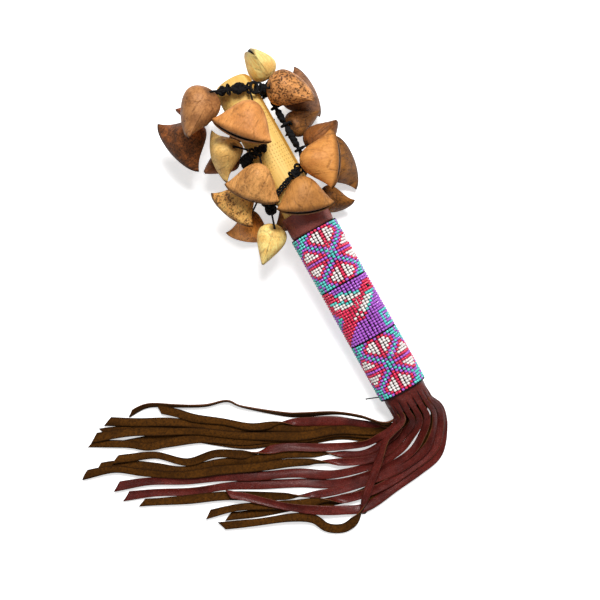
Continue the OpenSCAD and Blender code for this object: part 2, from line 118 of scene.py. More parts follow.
# Fringe strips: degrees round the skirt's rim, twist, and the route over the table before it is centred (mm).
# A point without a height is as high as the one before it.
FRINGE = {
    "fringe_rear": [
        (-100, -80, [(-20, -12.5, 11.5), (-29, -3, 10), (-42.5, 7.5, 5), (-60.5, 16.5, 3), (-70.5, 22.5, 2.5),
         (-90.5, 38.5), (-97.5, 46.5), (-110.5, 50.5), (-125.5, 58.5), (-141.5, 67.5), (-153.5, 68.5)]),
        (-120, 0, [(-15.5, -17, 7), (-30, -7.5, 5.5), (-45.5, 3.5, 4.2), (-60.5, 11.5), (-72.5, 17.5),
         (-90.5, 24.5), (-105.5, 36.5), (-119.5, 46.5), (-128.5, 55.5, 3.5), (-136.5, 62.5, 3)]),
        (-140, 0, [(-10.5, -18.5, 4.8), (-27.5, -10.5, 3.4), (-45.5, 1.5, 2.7), (-62.5, 8.5, 2.6),
         (-80.5, 18.5), (-100.5, 29.5), (-119.5, 42.5), (-136.5, 53.5), (-151.5, 61.5), (-168.5, 71.5)]),
        (-160, 0, [(-6, -19, 1.4), (-26, -13.5, 1.2), (-45.5, -0.5, 1), (-65.5, 6.5), (-82.5, 15.5),
         (-100.5, 26.5), (-121.5, 41.5), (-141.5, 52.5), (-157.5, 60.5), (-174.5, 67.5)]),
        (180, 0, [(-3.5, -19.5, 4), (-25, -14.5, 5), (-45.5, -2.5, 4.2), (-65.5, 4.5), (-82.5, 13.5),
         (-101.5, 24.5), (-121.5, 38.5), (-141.5, 49.5), (-158.5, 58.5), (-180, 66.5)]),
        (160, 0, [(2, -19, 1.6), (-8, -20.5, 2.6), (-25.5, -16.5), (-45.5, -4.5), (-65.5, 2.5), (-82.5, 11.5),
         (-99.5, 19.5), (-121.5, 33.5), (-141.5, 41.5), (-153.5, 45.5), (-164.5, 53.5), (-184, 64.5, 2)]),
        (140, 0, [(4, -20, 2), (-8.5, -25, 1.3), (-25.5, -20, 1), (-45.5, -6.5), (-65.5, 1.5), (-82.5, 9.5),
         (-99.5, 16.5), (-116.5, 28.5), (-131.5, 40.5), (-146.5, 47.5), (-164.5, 53.5)]),
    ],
    "fringe_middle": [
        (-80, 0, [(-17, -17.5, 13), (-26.5, -18, 8), (-38, -16.5, 5), (-60.5, -6.5, 2.6), (-80.5, 4.5),
         (-101.5, 11.5), (-118.5, 21.5), (-136.5, 25.5), (-151.5, 38.5), (-167.5, 45.5), (-175, 48.5)]),
        (-60, 0, [(-14, -20.5, 17), (-25.5, -22.5, 8.5), (-41, -22, 3.5), (-60.5, -10.5, 1), (-81.5, 0.5),
         (-101.5, 7.5), (-121.5, 16.5), (-141.5, 22.5), (-156.5, 33.5), (-172.5, 43.5), (-187, 49.5)]),
        (-20, 0, [(-4.5, -19.5, 22), (-12, -23, 14), (-25.5, -27.5, 8), (-41, -26, 5.5), (-60.5, -16.5, 4.2),
         (-81.5, -5.5), (-101.5, 2.5), (-121.5, 11.5), (-141.5, 19.5), (-162.5, 32.5), (-178, 43.5),
         (-196, 49.5, 3)]),
        (0, 0, [(-0.5, -21, 22), (-7.5, -26, 14.5), (-19.5, -31, 9.5), (-37, -31, 4.2), (-61.5, -24.5, 2.6),
         (-81.5, -12.5), (-101.5, -3.5), (-121.5, 6.5), (-141.5, 15.5), (-162.5, 26.5), (-182, 33.5)]),
        (20, 0, [(4.5, -21, 21), (-1.5, -28, 14), (-13.5, -35, 9.8), (-33, -36, 4), (-61.5, -30.5, 1),
         (-81.5, -19.5), (-101.5, -9.5), (-121.5, 0.5), (-142.5, 8.5), (-162.5, 18.5), (-180, 25.5)]),
        (40, 0, [(9.5, -20.5, 18), (5.5, -29, 10.4), (-5.5, -38, 7.4), (-24.5, -40, 6.4), (-46, -38, 3.6),
         (-66.5, -33.5, 2.6), (-86.5, -25.5), (-106.5, -14.5), (-126.5, -3.5), (-147.5, 5.5), (-173, 17.5)]),
    ],
    "fringe_front": [
        (-40, 0, [(-11, -17.5, 24), (-22.5, -20.5, 19), (-37, -33, 12), (-52, -46, 7.5), (-61.5, -53.5, 4.6),
         (-71.5, -55.5, 2.5), (-80.5, -50.5), (-85.5, -41.5, 4.2), (-96.5, -34.5, 5), (-117.5, -26.5, 4),
         (-136.5, -18.5, 2)]),
        (60, 0, [(13.5, -20.5, 13.5), (9.5, -29, 6.6), (-1.5, -41, 5), (-20.5, -44, 4.4), (-42, -44.5, 4.2),
         (-61.5, -40.5), (-81.5, -32.5), (-101.5, -23.5), (-122.5, -13.5), (-140.5, -8.5, 3)]),
        (80, 0, [(15, -20, 10.5), (12.5, -30, 3.6), (0.5, -44, 2.6), (-15.5, -48), (-34, -49.5), (-54, -51),
         (-67.5, -45.5, 4.6), (-81.5, -37.5, 6), (-96.5, -26.5), (-113.5, -11.5), (-123.5, -3.5)]),
        (100, 0, [(14.5, -19, 7.5), (10.5, -27.5, 1.8), (-0.5, -41, 1), (-13.5, -46), (-32.5, -48.5),
         (-48.5, -49.5), (-59.5, -52.5)]),
        (120, 0, [(11.5, -19, 4.5), (6.5, -25.5, 1.2), (-5.5, -35, 1), (-26.5, -41), (-50, -43),
         (-69.5, -38.5), (-91.5, -30.5), (-111.5, -23.5), (-130.5, -15.5)]),
    ],
}

# Where a strip turns over, as shares of its length
TURNS = {-120: (0.08, 0.5), -80: (0.52,), -60: (0.3,), -20: (0.34,), 40: (0.55,), -40: (0.42,), 60: (0.6,)}

# The stick's tilt and the place of its frame's origin, from the grip
grip = frame["record"]["mounts"][0]
TILT = math.atan2(grip["axis"][2], grip["axis"][1])
COS_T = math.cos(TILT)
SIN_T = math.sin(TILT)
SHIFT = np.array(grip["pos_m"]) / MM - BEAD_TOP / 2 * np.array([0.0, COS_T, SIN_T])


def lay(points):
    """Points of the stick's frame in mm, turned by the rest tilt about X and moved to their place, in m."""
    p = np.asarray(points, float)
    y = p[..., 1] * COS_T - p[..., 2] * SIN_T
    z = p[..., 1] * SIN_T + p[..., 2] * COS_T
    return (np.stack([p[..., 0], y, z], -1) + SHIFT) * MM


def unit(v):
    """Vectors divided by their lengths."""
    return v / np.maximum(np.linalg.norm(v, axis=-1, keepdims=True), 1e-12)


def spun(one, two, angle):
    """A direction turned towards another at right angles to it."""
    return one * np.cos(angle)[..., None] + two * np.sin(angle)[..., None]


def full_turn(count):
    """Angles at even steps round a circle, from 0 to the last before it closes."""
    return 2.0 * math.pi * np.arange(count) / count


def lengths(path, closed=False):
    """How far along a path each point is, and the path's whole length, back to its start if it is closed."""
    step = np.linalg.norm(np.diff(path, axis=0), axis=1)
    run = np.concatenate([[0.0], np.cumsum(step)])
    return run, run[-1] + (np.linalg.norm(path[0] - path[-1]) if closed else 0.0)


def show(name, data):
    """A new object of these data, put into the scene."""
    thing = bpy.data.objects.new(name, data)
    bpy.context.scene.collection.objects.link(thing)
    return thing


def seen(rgb):
    """A colour as it looks on a screen, from 0 to 255, turned into the linear values that shaders take."""
    c = np.asarray(rgb, float) / 255.0
    return np.where(c <= 0.04045, c / 12.92, ((c + 0.055) / 1.055) ** 2.4)


def ring_at(name, degrees):
    """A point on a cord ring: a circle round the stick, slanted about Z by the ring's slant."""
    up, turn = RINGS[name]
    a = np.radians(degrees)
    t = math.radians(turn)
    x = RING_R * np.sin(a)
    return np.stack([x * math.cos(t), up + x * math.sin(t), RING_R * np.cos(a)], -1)


def cord_at(name, place):
    """A point on a cord, by degrees on a ring or by millimetres above the collar on a side cord."""
    if name in RINGS:
        return ring_at(name, place)
    return np.array([-SIDE_X if name == "left" else SIDE_X, COLLAR_TOP + place, 0.0])


def cord_along(name, place):
    """The direction of a cord at a place on it."""
    if name not in RINGS:
        return np.array([0.0, 1.0, 0.0])
    return unit(ring_at(name, place + 0.5) - ring_at(name, place - 0.5))


# Meshes

def wrapped_quads(rows, columns, close_rows):
    """Quads of a grid of points whose columns close on themselves, and whose rows do too if asked."""
    i = np.arange(rows if close_rows else rows - 1)[:, None]
    k = np.arange(columns)
    j = (i + 1) % rows
    n = (k + 1) % columns
    quads = np.stack([i * columns + k, i * columns + n, j * columns + n, j * columns + k], -1)
    return quads.reshape(-1, 4).tolist()


def end_caps(rows, columns):
    """The two polygons that close the ends of an open grid of rings."""
    ring = list(range(columns))
    return [ring[::-1], [(rows - 1) * columns + k for k in ring]]


def ringed(r, y, turn):
    """Points round the stick, by their distance from its axis, their place along it and their angle."""
    return np.stack(np.broadcast_arrays(r * np.sin(turn), y, r * np.cos(turn)), -1)


def laid(*parts):
    """Several (points, faces) laid as one, each part's face numbers moved past the points before it."""
    points = np.concatenate([p.reshape(-1, 3) for p, _ in parts])
    starts = np.cumsum([0] + [p.size // 3 for p, _ in parts]).tolist()
    faces = [[v + s for v in f] for (_, fs), s in zip(parts, starts) for f in fs]
    return lay(points), faces


def make_piece(name, points, faces, material, node, body="handle", layers=None):
    """A smooth mesh object of points in metres, with its layers as point attributes. It rides on a body
    and stands for a solid, whose part it hides."""
    mesh = bpy.data.meshes.new(name)
    mesh.from_pydata(points.reshape(-1, 3).tolist(), [], faces)
    mesh.polygons.foreach_set("use_smooth", np.ones(len(mesh.polygons), bool))
    for label, values in (layers or {}).items():
        values = np.asarray(values, np.float32)
        kind, key = ("FLOAT", "value") if values.ndim == 1 else ("FLOAT_VECTOR", "vector")
        mesh.attributes.new(label, kind, "POINT").data.foreach_set(key, values.reshape(-1))
    mesh.materials.append(material)
    mesh.update()
    piece = show(name, mesh)
    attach(piece, body)
    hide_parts(node)
    return piece


# Shaders

class Value:
    """A shader value. Python's operators on it add Math nodes to its finish."""

    def __init__(self, finish, socket):
        self.finish = finish
        self.socket = socket

    def math(self, operation, *others):
        return self.finish.node("ShaderNodeMath", {"operation": operation}, dict(enumerate((self,) + others)))

    def __add__(self, other):
        return self.math("ADD", other)

    __radd__ = __add__

    def __mul__(self, other):
        return self.math("MULTIPLY", other)

    __rmul__ = __mul__

    def __sub__(self, other):
        return self.math("SUBTRACT", other)

    def __rsub__(self, other):
        return self.finish.node("ShaderNodeMath", {"operation": "SUBTRACT"}, {0: other, 1: self})

    def over(self, low, high):
        """0 under low and 1 over high, smooth between."""
        settings = {"interpolation_type": "SMOOTHSTEP"}
        return self.finish.node("ShaderNodeMapRange", settings, {0: self, 1: low, 2: high, 3: 0.0, 4: 1.0})


class Finish:
    """A material with one shader, and the one way to add a node to it."""

    def __init__(self, name, **constants):
        self.material = bpy.data.materials.new(name)
        self.material.use_nodes = True
        self.tree = self.material.node_tree
        self.shader = self.tree.nodes["Principled BSDF"]
        for label, value in constants.items():
            self.shader.inputs[label.replace("_", " ")].default_value = value

    def node(self, kind, settings=None, inputs=None, out=0):
        """Adds a node: its settings, then the values or links of its sockets. Gives one of its outputs."""
        made = self.tree.nodes.new(kind)
        for label, value in (settings or {}).items():
            setattr(made, label, value)
        for key, value in (inputs or {}).items():
            if isinstance(value, Value):
                self.tree.links.new(value.socket, made.inputs[key])
            else:
                made.inputs[key].default_value = value
        return Value(self, made.outputs[out])

    def feed(self, **links):
        """Links values to the shader's own sockets."""
        for label, value in links.items():
            self.tree.links.new(value.socket, self.shader.inputs[label.replace("_", " ")])

    def place(self):
        return self.node("ShaderNodeTexCoord", out="Object")

    def layer(self, label, out="Fac"):
        return self.node("ShaderNodeAttribute", {"attribute_name": label}, out=out)

    def axis(self, vector, index):
        """One coordinate of a vector."""
        return self.node("ShaderNodeSeparateXYZ", None, {0: vector}, out=index)

    def mapped(self, vector, scale, turn=(0.0, 0.0, 0.0)):
        """A vector turned, then scaled."""
        turned = self.node("ShaderNodeMapping", None, {"Vector": vector, "Rotation": turn})
        return self.node("ShaderNodeMapping", None, {"Vector": turned, "Scale": scale})

    def noise(self, vector, scale, detail=4.0, rough=0.55):
        inputs = {"Vector": vector, "Scale": scale, "Detail": detail, "Roughness": rough}
        return self.node("ShaderNodeTexNoise", None, inputs)

    def mix(self, share, *colours):
        """Two colours mixed by a share, each a value or a colour as it looks on a screen."""
        pair = [c if isinstance(c, Value) else (*seen(c).tolist(), 1.0) for c in colours]
        return self.node("ShaderNodeMix", {"data_type": "RGBA"}, {0: share, 6: pair[0], 7: pair[1]}, out=2)

    def bump(self, height, strength, distance):
        inputs = {"Height": height, "Strength": strength, "Distance": distance}
        self.feed(Normal=self.node("ShaderNodeBump", None, inputs))


def stick_wood():
    """Pale cane-like wood: long fine grain, rows of short dashes, and an ochre streak on its right side."""
    f = Finish("stick_wood", Roughness=0.5, Specular_IOR_Level=0.2)
    along = f.mapped(f.place(), (1.0, 1.0, 1.0), (-TILT, 0.0, 0.0))
    right = f.axis(along, 0) - SHIFT[0] * MM
    front = f.axis(along, 2) - (SHIFT[2] * COS_T - SHIFT[1] * SIN_T) * MM
    turn = right.math("ARCTAN2", front)
    grain = f.noise(f.mapped(along, (1.0, 0.03, 1.0)), 900.0, 5.0, 0.6)
    broad = f.noise(f.mapped(along, (1.0, 0.12, 1.0)), 110.0, 3.0, 0.5)
    patchy = f.noise(along, 90.0, 3.0, 0.6)
    rows = (f.axis(along, 1) * 2900.0 + patchy * 14.0).math("COSINE").over(-0.1, 0.7)
    dashes = (turn * 42.0 + grain * 3.0).math("COSINE").over(0.0, 0.8) * rows * patchy.over(0.36, 0.6)
    streak = f.noise(f.mapped(along, (1.0, 0.05, 1.0)), 160.0, 2.0, 0.5).over(0.46, 0.64)
    tone = f.mix(grain.over(0.35, 0.65), (242, 204, 120), (228, 186, 102))
    tone = f.mix(broad.over(0.4, 0.64) * 0.7, tone, (224, 176, 88))
    tone = f.mix(streak * (0.4 + right.over(0.0, 0.008) * 0.6), tone, (196, 138, 48))
    tone = f.mix(dashes * 0.65, tone, (166, 116, 48))
    f.feed(Base_Color=tone, Roughness=0.42 + grain * 0.2)
    f.bump(grain - dashes * 0.5, 0.25, 0.0004)
    return f.material


def hide_leather(name, two_sided):
    """Reddish-brown hide with a fine pebbled grain, painted lighter where it is folded as a highlight. Strips
    have an ochre suede back with painted shade towards its edges, and pale cut edges on the grain. The
    sleeve has a paler collar, and painted shade in the slits of its skirt."""
    f = Finish(name, Roughness=0.5, Specular_IOR_Level=0.1, Coat_Roughness=0.3)
    at = f.place()
    cells = f.node("ShaderNodeTexVoronoi", {"feature": "DISTANCE_TO_EDGE"}, {"Vector": at, "Scale": 1000.0})
    pebble = cells.over(0.0, 0.25)
    cloud = f.noise(at, 70.0, 4.0)
    fine = f.noise(at, 1500.0, 3.0)
    folds_and_painted_light = f.noise(at, 210.0, 5.0, 0.6)
    tone = f.mix(cloud.over(0.3, 0.7), (78, 21, 15), (113, 38, 30))
    # Painted highlight: the raised folds are painted lighter.
    tone = f.mix(folds_and_painted_light.over(0.5, 0.75) * 0.4, tone, (130, 58, 49))
    tone = f.mix((1.0 - pebble) * 0.55, tone, (44, 13, 9))
    rough = 0.24 + fine * 0.26
    height = pebble + fine * 0.5 + folds_and_painted_light * 1.6
    if two_sided:
        smooth = f.layer("grain_side").over(0.35, 0.65)
        nap = f.noise(at, 760.0, 6.0, 0.75)
        back = f.mix(nap.over(0.25, 0.75), (38, 20, 3), (98, 58, 13))
        back = f.mix(cloud.over(0.35, 0.7) * 0.5, back, (42, 21, 3))
        rim = f.layer("cut_edge_and_edge_shade")
        # Painted shade on the suede towards the strip's edges.
        back = f.mix(rim.over(0.1, 0.9) * 0.8, back, (28, 13, 2))
        tone = f.mix(rim.over(0.8, 1.0) * 0.6, tone, (128, 84, 40))
        tone = f.mix(smooth, back, tone)
        rough = smooth * rough + (1.0 - smooth) * 0.9
        height = smooth * height + (1.0 - smooth) * nap * 1.2
        coat = smooth * (0.06 + pebble * 0.2)
    else:
        coat = 0.15 + folds_and_painted_light * 0.2
        tone = f.mix(f.layer("collar") * 0.6, tone, (166, 92, 82))
        # Painted shade in the skirt's slits.
        tone = f.mix(f.layer("slit").over(0.2, 0.7) * 0.9, tone, (16, 6, 5))
    f.feed(Base_Color=tone, Roughness=rough, Coat_Weight=coat)
    f.bump(height, 0.5, 0.0003)
    return f.material


def bead_glass():
    """Opaque glossy seed beads: their colour is a layer of the mesh, a little uneven."""
    f = Finish("bead_glass", Roughness=0.2, Specular_IOR_Level=0.4, Coat_Weight=0.3, Coat_Roughness=0.08)
    spread = f.noise(f.place(), 320.0, 2.0)
    tone = f.mix(spread.over(0.3, 0.7) * 0.22, f.layer("bead_colour", "Vector"), (0, 0, 0))
    f.feed(Base_Color=tone, Roughness=0.16 + spread * 0.2)
    return f.material


def black_yarn(name):
    """Dull black cord: near-black fibres, a little lighter on their crowns."""
    f = Finish(name, Roughness=0.85, Specular_IOR_Level=0.2)
    fibre = f.noise(f.place(), 2600.0, 3.0, 0.6)
    tone = f.mix(fibre.over(0.3, 0.8), (7, 7, 8), (26, 26, 29))
    f.feed(Base_Color=tone, Roughness=0.75 + fibre * 0.2)
    f.bump(fibre, 0.6, 0.0002)
    return f.material


def nutshell():
    """Dry nutshell: a light tone clouded with a dark one, fibres and creases from the tied end, painted shade
    in the creases, dark specks in patches, painted shade round the tied end, dark seams along its edges and
    its mouth, and painted shade, near black, on its inside."""
    f = Finish("nutshell", Roughness=0.45, Specular_IOR_Level=0.16)
    at = f.layer("shell_place", "Vector")
    marks, reach, mouth = (f.axis(f.layer("shell_marks_and_slit_shade", "Vector"), k) for k in range(3))
    run = f.layer("shell_run")
    dark = f.layer("shell_dark", "Vector")
    cloud = f.noise(at, 0.1, 5.0, 0.6)
    fibres = f.noise(f.mapped(at, (0.07, 1.0, 1.0)), 0.8, 4.0, 0.65)
    mottle = f.noise(at, 0.38, 5.0, 0.7)
    specks = f.noise(at, 0.85, 2.0, 0.5)
    folds_and_painted_light = f.node("ShaderNodeTexVoronoi", {"feature": "DISTANCE_TO_EDGE"},
                   {"Vector": f.mapped(at, (0.3, 1.0, 1.0)), "Scale": 0.11, "Randomness": 1.0})
    crease = (1.0 - folds_and_painted_light.over(0.0, 0.07)) * mottle.over(0.42, 0.6)
    tone = f.mix(cloud.over(0.36, 0.64) * 0.75, f.layer("shell_light", "Vector"), dark)
    tone = f.mix(fibres.over(0.42, 0.68) * 0.65, tone, dark)
    tone = f.mix(mottle.over(0.52, 0.7) * (0.1 + marks * 0.6), tone, (104, 60, 28))
    tone = f.mix(reach * mottle.over(0.3, 0.55), tone, (46, 30, 20))
    # Painted shade: the creases are painted darker, as if shade lay in them.
    tone = f.mix(crease * (0.25 + marks * 0.5), tone, (58, 34, 18))
    patch = cloud.over(0.34, 0.58) * 0.15
    tone = f.mix(marks * (specks + patch).over(0.64, 0.72) * 0.85, tone, (46, 29, 18))
    # Painted shade round the tied end, where the shell narrows into the hole.
    tone = f.mix((1.0 - run.over(0.0, 0.03)) * 0.6, tone, (60, 36, 20))
    tone = f.mix(run.over(0.9, 1.0) * 0.55, tone, (74, 42, 22))
    seam = f.layer("shell_seam").over(0.4, 1.0) * run.over(0.1, 0.5)
    tone = f.mix(seam * 0.6, tone, (70, 40, 20))
    # Painted shade: the lining inside the slit is painted near black.
    tone = f.mix(mouth.over(0.55, 1.0) * 0.95, tone, (14, 10, 8))
    f.feed(Base_Color=tone, Roughness=0.34 + mottle * 0.25)
    f.bump(fibres * 0.5 + mottle * 0.6 - crease * 0.8 - specks * marks * 0.4, 0.5, 0.0007)
    return f.material


def table_top():
    """White table: it takes the shadow, and to the camera alone it is lifted to plain white."""
    f = Finish("table_top", Base_Color=(0.95, 0.95, 0.95, 1.0), Roughness=0.7, Specular_IOR_Level=0.1)
    rays = f.node("ShaderNodeLightPath", out="Is Camera Ray")
    glow = f.node("ShaderNodeEmission", None, {"Strength": rays * 0.56})
    both = f.node("ShaderNodeAddShader", None, {0: Value(f, f.shader.outputs[0]), 1: glow})
    f.tree.links.new(both.socket, f.tree.nodes["Material Output"].inputs["Surface"])
    return f.material


# Camera and light

# The camera's place in the stick's frame (mm)
CAMERA_AT = (-27.6, 76.9, 650.0)


def place_camera():
    """The camera stands off the stick square to it, turned so that the tip points up and to the left."""
    data = bpy.data.cameras.new("camera")
    data.sensor_width = 36.0
    data.lens = 65.0
    data.clip_start = 0.01
    camera = show("camera", data)
    right = (0.872, -0.489, 0.0)
    up = (0.489, 0.872, 0.0)
    back = (0.0, 0.0, 1.0)
    turn = Matrix.Rotation(TILT, 3, "X") @ Matrix((right, up, back)).transposed()
    camera.matrix_world = Matrix.Translation(lay(CAMERA_AT)) @ turn.to_4x4()
    bpy.context.scene.camera = camera


def place_lights():
    """A broad lamp from the upper right, a weaker one opposite, and an even white sky."""
    lamps = [("key_lamp", (0.36, 0.3, 1.15), 0.4, 17.0), ("fill_lamp", (-0.7, -0.1, 0.9), 0.9, 1.4)]
    for name, at, size, power in lamps:
        data = bpy.data.lights.new(name, "AREA")
        data.size = size
        data.energy = power
        lamp = show(name, data)
        aim = (-Vector(at)).to_track_quat("-Z", "Y")
        lamp.matrix_world = Matrix.Translation(at) @ aim.to_matrix().to_4x4()
    world = bpy.data.worlds.new("studio")
    world.use_nodes = True
    sky = world.node_tree.nodes["Background"].inputs
    sky["Color"].default_value = (1.0, 1.0, 1.0, 1.0)
    sky["Strength"].default_value = 0.17
    bpy.context.scene.world = world
    bpy.context.scene.view_settings.view_transform = "Standard"


def place_table():
    """A flat square under the rattle."""
    half = 2.0
    corners = [(-half, -half, 0), (half, -half, 0), (half, half, 0), (-half, half, 0)]
    mesh = bpy.data.meshes.new("table")
    mesh.from_pydata(corners, [], [(0, 1, 2, 3)])
    mesh.materials.append(table_top())
    show("table", mesh)


# The fringe

def through(points, steps):
    """A smooth curve through points: between two, a cubic that leaves each along its neighbours' chord."""
    p = np.asarray(points, float)
    q = np.concatenate([p[:1], p, p[-1:]])[:, None, :]
    a, b, c, d = q[:-3], q[1:-2], q[2:-1], q[3:]
    t = (np.arange(steps) / steps)[:, None]
    curve = b + 0.5 * ((c - a) * t + (2 * a - 5 * b + 4 * c - d) * t**2 + (3 * b - a - 3 * c + d) * t**3)
    return np.concatenate([curve.reshape(-1, 3), p[-1:]])


def slopes(line):
    """Unit directions along a line of points."""
    return unit(np.gradient(line, axis=0))


# A strip, in mm: its straight start, its narrow root, a bend after it, the length of a turn, its end and the
# slant of that, and its least height. Then the steps between points of its route, and how its bend is eased.
STRIP_START = 3.0
ROOT_L = 30.0
ROOT_BEND = 24.0
TURN_L = 22.0
END_L = 6.0
END_SLANT = 2.2
TABLE_GAP = 0.1
ROUTE_STEPS = 8
EASED_POINTS = 24
EASING_PASSES = 12

# A strip's profile: places across its half width, and how thick it is there
STRIP_ACROSS = np.array([-1.0, -0.97, -0.8, -0.45, 0.0, 0.45, 0.8, 0.97, 1.0])
STRIP_LIFT = np.array([0.35, 0.8, 1.0, 1.0, 1.0, 1.0, 1.0, 0.8, 0.35]) * LEATHER_T / 2


def strip_line(rim_degrees, route):
    """A strip's middle line: straight out of the skirt's rim, then along its route, its first bend eased by
    moving points towards the middle of their neighbours. Also the direction out of the rim."""
    a = math.radians(rim_degrees)
    rim_r = STICK_R + LEATHER_T / 2
    rim = lay(ringed(rim_r, -SKIRT_L, a)) / MM
    away = np.array([0.0, -COS_T, -SIN_T])
    floor = []
    for point in route:
        floor.append(point if len(point) == 3 else (*point, floor[-1][2]))
    floor = np.array(floor, float) + SHIFT * np.array([1.0, 1.0, 0.0])
    line = through(np.concatenate([[rim, rim + away * STRIP_START], floor]), ROUTE_STEPS)
    n = EASED_POINTS
    for _ in range(EASING_PASSES):
        line[1:n] = (line[:n - 1] + 2.0 * line[1:n] + line[2:n + 1]) / 4.0
    return line, away


def fringe_strip(name, node, rim_degrees, twist, route, leather, rng):
    """A leather strip: a flat rounded profile carried along its line. It turns over where TURNS says, and is
    narrow there, waves in width, curls across, stays above the table, and its end is cut at a slant."""
    line, away = strip_line(rim_degrees, route)
    a = math.radians(rim_degrees)
    along = slopes(line)
    along[0] = away
    count = len(line)
    sign = -1.0 if math.cos(a) < 0 else 1.0
    root = sign * np.array([math.cos(a), math.sin(a) * SIN_T, -math.sin(a) * COS_T])
    flat = unit(along[:, [1, 0, 2]] * (-1.0, 1.0, 0.0))
    lying = spun(flat, np.cross(along, flat), np.radians(twist))
    blend = np.minimum(1.0, np.linspace(0.0, 1.0, count)[:, None] / 0.35)
    side = root * (1.0 - blend) + lying * blend
    side = unit(side - (side * along).sum(-1, keepdims=True) * along)
    up = np.cross(along, side)
    run, whole = lengths(line)
    turned = np.zeros(count)
    narrow = np.ones(count)
    for at in TURNS.get(rim_degrees, ()):
        x = np.clip((run - at * whole) / TURN_L + 0.5, 0.0, 1.0)
        turned += math.pi * x * x * (3 - 2 * x)
        narrow -= 0.5 * np.sin(math.pi * x) ** 2
    phase = rng.uniform(0.0, 2.0 * math.pi, 3)
    free = np.minimum(1.0, run / ROOT_L)
    turned = turned + 0.25 * np.sin(run / 17.0 + phase[0]) * free
    turned = turned + 0.6 * math.sin(1.7 * phase[0]) * np.exp(-(((run - ROOT_BEND) / 13.0) ** 2))
    side, up = spun(side, up, turned), spun(up, -side, turned)
    wave = 0.18 + 0.14 * np.sin(run / 19.0 + phase[1]) + 0.06 * np.sin(run / 6.5 + phase[2])
    wide = STRIP_W / 2 * narrow * (0.74 + (0.3 + wave) * free)
    across = np.concatenate([STRIP_ACROSS, STRIP_ACROSS[::-1]])
    above = np.concatenate([STRIP_LIFT, -STRIP_LIFT])
    curl = (0.35 * math.sin(phase[1]) + 0.75 * np.sin(run / 23.0 + phase[2])) * free
    above = above + curl[:, None] * (across**2 - 0.4)
    points = line[:, None, :] + side[:, None, :] * (wide[:, None] * across)[..., None]
    points = points + up[:, None, :] * above[..., None]
    slant = rng.choice([-1.0, 1.0]) * END_SLANT * np.maximum(0.0, (run - whole + END_L) / END_L)
    points = points + along[:, None, :] * (slant[:, None] * across)[..., None]
    points[..., 2] = np.maximum(points[..., 2], TABLE_GAP)
    sides = len(across)
    faces = [f[::-1] for f in wrapped_quads(count, sides, False) + end_caps(count, sides)]
    grain = (np.arange(sides) < len(STRIP_ACROSS)) == (sign > 0)
    # The edge layer carries both the pale cut edges and the painted shade at the suede's edges.
    layers = {"grain_side": np.tile(grain, count), "cut_edge_and_edge_shade": np.tile(np.abs(across) ** 4, count)}
    piece = make_piece(name, points * MM, faces, leather, node, layers=layers)
    tuple(line[0] * MM)
    (line * MM).tolist()


def make_fringe():
    """All strips, each layer's strips standing for that layer's solid."""
    leather = hide_leather("fringe_leather", True)
    rng = np.random.default_rng(7)
    for node, strips in FRINGE.items():
        for i, strip in enumerate(strips):
            fringe_strip("%s_strip_%d" % (node, i + 1), node, *strip, leather, rng)


# Cords

# Strands of a plait
STRANDS = 3


def plaited(path, ref, radius, closed, pitch, sides=10):
    """A plaited cord: a round profile along the path that swells where one of two opposite helices runs."""
    if closed:
        along = unit(np.roll(path, -1, 0) - np.roll(path, 1, 0))
    else:
        along = slopes(path)
    side = unit(np.cross(along, ref))
    up = np.cross(side, along)
    run, whole = lengths(path, closed)
    waves = max(1, round(whole / pitch))
    turn = full_turn(sides)
    wind = math.pi * waves * run[:, None] / whole
    one = np.abs(np.sin(STRANDS * turn / 2 + wind))
    two = np.abs(np.sin(STRANDS * turn / 2 - wind))
    r = np.reshape(radius, (-1, 1)) * (0.74 + 0.3 * np.maximum(one, two))
    points = path[:, None, :] + spun(side[:, None, :], up[:, None, :], turn) * r[..., None]
    faces = wrapped_quads(len(path), sides, closed)
    if not closed:
        faces += end_caps(len(path), sides)
    return points, [f[::-1] for f in faces]


def knot(centre, out, radius, grow=1.12):
    """An overhand knot drawn tight: a plaited cord along a trefoil, flat against the stick."""
    t = full_turn(96)
    x = np.sin(t) + 2.0 * np.sin(2.0 * t)
    y = np.cos(t) - 2.0 * np.cos(2.0 * t)
    z = -1.3 * np.sin(3.0 * t)
    thick = 0.42 * radius
    scale = (radius * grow - thick) / 3.0
    out = unit(out)
    right = unit(np.cross((0.0, 1.0, 0.0), out))
    up = np.cross(out, right)
    path = centre + scale * (x[:, None] * right + y[:, None] * up + z[:, None] * out)
    return plaited(path, path - centre + out * 0.3, thick, True, pitch=2.2)


# Places where a cord is drawn tight because a shell lies beside it
BESIDE_SHELLS = {"upper": (-42, -52), "right": (68, 74, 80)}

# How much larger the scene's knots are than their radius on each ring, and the radius in mm of a yarn of a
# ring, of a side cord and beside an eye
KNOT_GROWTH = {"upper": 1.2, "middle": 1.2, "lower": 1.45}
RING_YARN = 1.15
SIDE_YARN = 1.5
EYE_YARN = 0.85

# A cord's plait, in mm: the length of a swing, how near an eye it is tight, how soon it is loose after that,
# and the step along a side cord. Then the points for each degree of a ring.
SWING_L = 8.5
EYE_CLEAR = 1.4
LOOSE_AFTER = 2.6
SIDE_STEP = 0.3
RING_STEPS = 1.1


def looseness(name, places, scale):
    """How loose a cord's plait is at its places: 0 by a tie's eye or a shell, 1 a few millimetres away."""
    eyes = [row[1] for row in PODS if row[0] == name] + list(BESIDE_SHELLS.get(name, ()))
    apart = np.abs(places[:, None] - np.array(eyes))
    apart = np.minimum(apart, np.abs(360.0 - apart)) if name in RINGS else apart
    free = np.clip((apart.min(1) * scale - EYE_CLEAR) / LOOSE_AFTER, 0.0, 1.0)
    return free * free * (3.0 - 2.0 * free)


